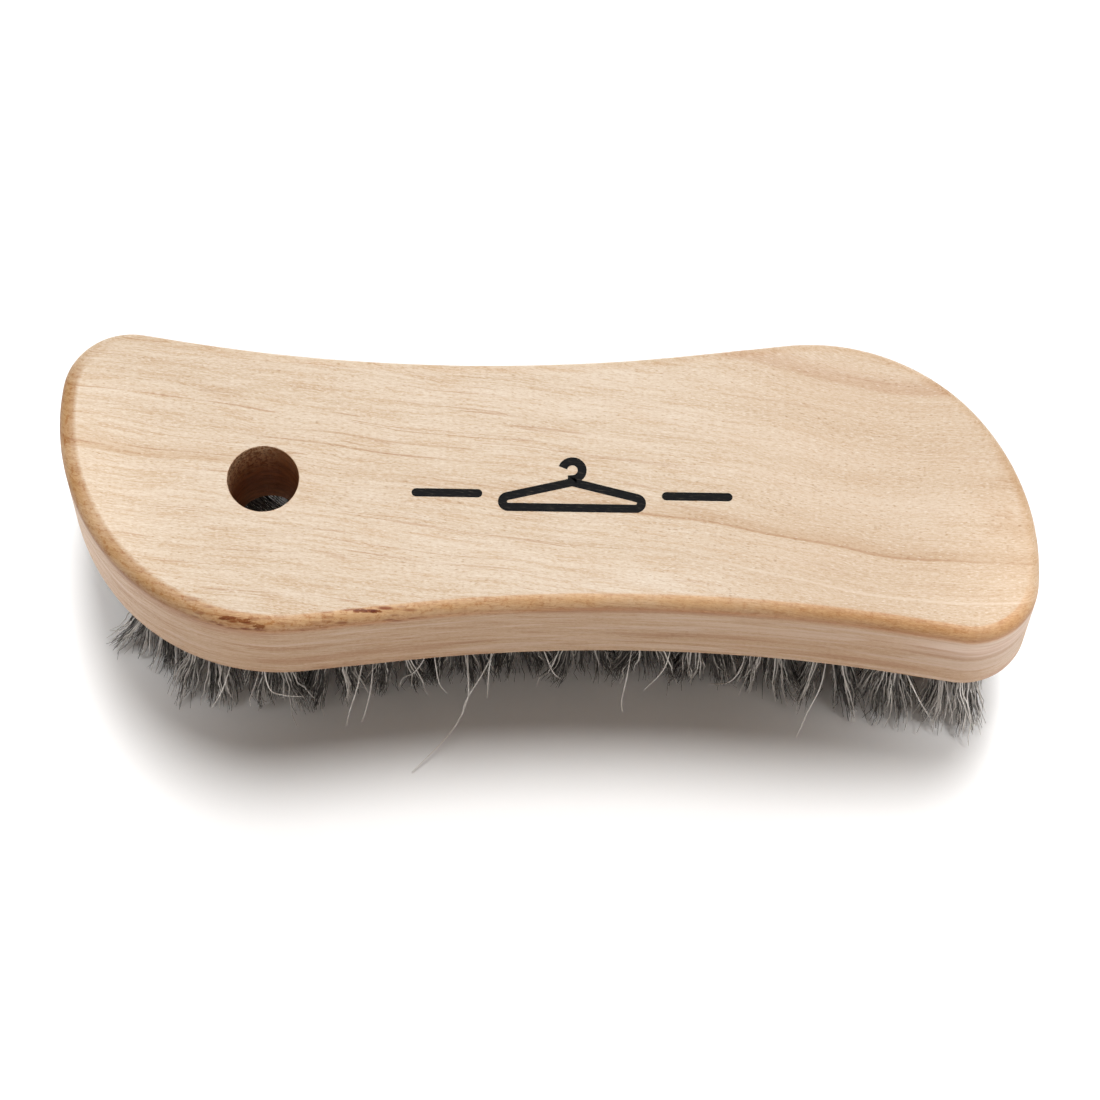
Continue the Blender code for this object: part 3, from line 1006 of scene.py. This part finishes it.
def make_anchors(tufts, material, block_bottom):
    """A short flat wire across the root of each tuft, its ends pressed into the wood."""
    middle_height = block_bottom + TUFT_HOLE_DEPTH + ANCHOR_ABOVE_HOLE_END
    for name, tuft in tufts.items():
        anchor = anchor_mesh(name.replace("tuft", "anchor"), tuft, middle_height, material)
        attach(anchor, "root")


# ---- floor, light and camera


def make_floor():
    """A level floor under the bristle tips, wide enough to have no edge in view."""
    half = 3000.0
    corners = [(-half, -half, 0.0), (half, -half, 0.0), (half, half, 0.0), (-half, half, 0.0)]
    floor = mesh_object("floor", corners, [(0, 1, 2, 3)], make_floor_white())


def add_sun(name, strength, width, tilt_x, tilt_y=0.0, turn_z=0.0, colour=(1.0, 1.0, 1.0)):
    """Light from straight above, tilted about X, about Y, and then turned about Z, all in degrees."""
    sun = bpy.data.lights.new(name, "SUN")
    sun.color = colour
    sun.energy = strength
    sun.angle = math.radians(width)
    light = bpy.data.objects.new(name, sun)
    tilt = Matrix.Rotation(math.radians(tilt_y), 4, "Y") @ Matrix.Rotation(math.radians(tilt_x), 4, "X")
    light.matrix_world = Matrix.Rotation(math.radians(turn_z), 4, "Z") @ tilt
    bpy.context.scene.collection.objects.link(light)


def add_kicker(name, power, place, target, cone):
    """A small soft spot that lifts the floor and the hair beside one end of the brush."""
    spot = bpy.data.lights.new(name, "SPOT")
    spot.energy = power
    spot.spot_size = math.radians(cone)
    spot.spot_blend = 1.0
    spot.shadow_soft_size = 0.03
    light = bpy.data.objects.new(name, spot)
    aim = (Vector(target) - Vector(place)).to_track_quat("-Z", "Y").to_matrix().to_4x4()
    light.matrix_world = Matrix.Translation(Vector(place) * MM) @ aim
    light.visible_camera = False
    bpy.context.scene.collection.objects.link(light)


def make_lights():
    """A soft box above and a weaker one behind, a small one beside each end, and low warm ones at the left
    and right of the front."""
    add_sun("soft_box_above", 2.65, 22.0, -18.5, 4.0)
    add_sun("soft_box_behind", 0.85, 26.0, -37.0, 3.0)
    add_kicker("kicker_left", 0.70, (-140.0, -30.0, 150.0), (-96.0, -10.0, 0.0), 28.0)
    add_kicker("kicker_right", 0.95, (138.0, -40.0, 150.0), (97.0, -29.0, 0.0), 27.0)
    for side, turn in (("left", -52.0), ("right", 52.0)):
        add_sun(f"fill_{side}", 0.50, 40.0, 78.0, turn_z=turn, colour=(1.0, 0.91, 0.83))


def make_surround():
    """A faint warm light from all round, in front of a background that shows as pure white."""
    world = bpy.data.worlds.new("surround")
    bpy.context.scene.world = world
    world.use_nodes = True
    tree = world.node_tree
    lit = tree.nodes["Background"]
    lit.inputs["Color"].default_value = (1.0, 0.90, 0.82, 1.0)
    lit.inputs["Strength"].default_value = 0.085
    seen = tree.nodes.new("ShaderNodeBackground")
    seen.inputs["Color"].default_value = (1.0, 1.0, 1.0, 1.0)
    seen.inputs["Strength"].default_value = 1.0
    mix = tree.nodes.new("ShaderNodeMixShader")
    path = tree.nodes.new("ShaderNodeLightPath")
    tree.links.new(path.outputs["Is Camera Ray"], mix.inputs[0])
    tree.links.new(lit.outputs[0], mix.inputs[1])
    tree.links.new(seen.outputs[0], mix.inputs[2])
    tree.links.new(mix.outputs[0], tree.nodes["World Output"].inputs["Surface"])


def make_camera():
    """A camera that looks at its target from its azimuth and elevation, rolled a little."""
    data = bpy.data.cameras.new("camera")
    data.lens = CAMERA_LENS
    data.sensor_width = SENSOR_WIDTH
    data.clip_start = 0.01
    data.clip_end = 20.0
    camera = bpy.data.objects.new("camera", data)
    bpy.context.scene.collection.objects.link(camera)
    turn = Matrix.Rotation(-CAMERA_AZIMUTH, 3, "Z")
    forward = turn @ Vector((0.0, math.cos(CAMERA_ELEVATION), -math.sin(CAMERA_ELEVATION)))
    level = turn @ Vector((1.0, 0.0, 0.0))
    lift = level.cross(forward)
    right = math.cos(CAMERA_ROLL) * level + math.sin(CAMERA_ROLL) * lift
    up = -math.sin(CAMERA_ROLL) * level + math.cos(CAMERA_ROLL) * lift
    place = (Vector(CAMERA_TARGET) - CAMERA_DISTANCE * forward) * MM
    axes = Matrix((right, up, -forward)).transposed()
    camera.matrix_world = Matrix.Translation(place) @ axes.to_4x4()
    bpy.context.scene.camera = camera
    bpy.context.scene.view_settings.view_transform = "Standard"


# ---- everything, in order


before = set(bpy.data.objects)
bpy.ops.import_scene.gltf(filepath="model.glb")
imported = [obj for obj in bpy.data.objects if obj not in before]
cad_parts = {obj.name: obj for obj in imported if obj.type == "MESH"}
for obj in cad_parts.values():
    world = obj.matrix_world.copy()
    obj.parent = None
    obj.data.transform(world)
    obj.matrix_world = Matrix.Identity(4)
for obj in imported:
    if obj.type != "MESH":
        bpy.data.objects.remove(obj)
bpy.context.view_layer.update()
bottom_of_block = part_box("handle_block")[0].z / MM
make_camera()
make_floor()
make_lights()
make_surround()
all_tufts = read_tufts(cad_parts)
make_block(all_tufts, make_beech())
make_ornament(make_ink())
horsehair = make_horsehair()
make_tufts(all_tufts, horsehair, bottom_of_block)
make_long_hairs(horsehair)
make_anchors(all_tufts, make_anchor_steel(), bottom_of_block)
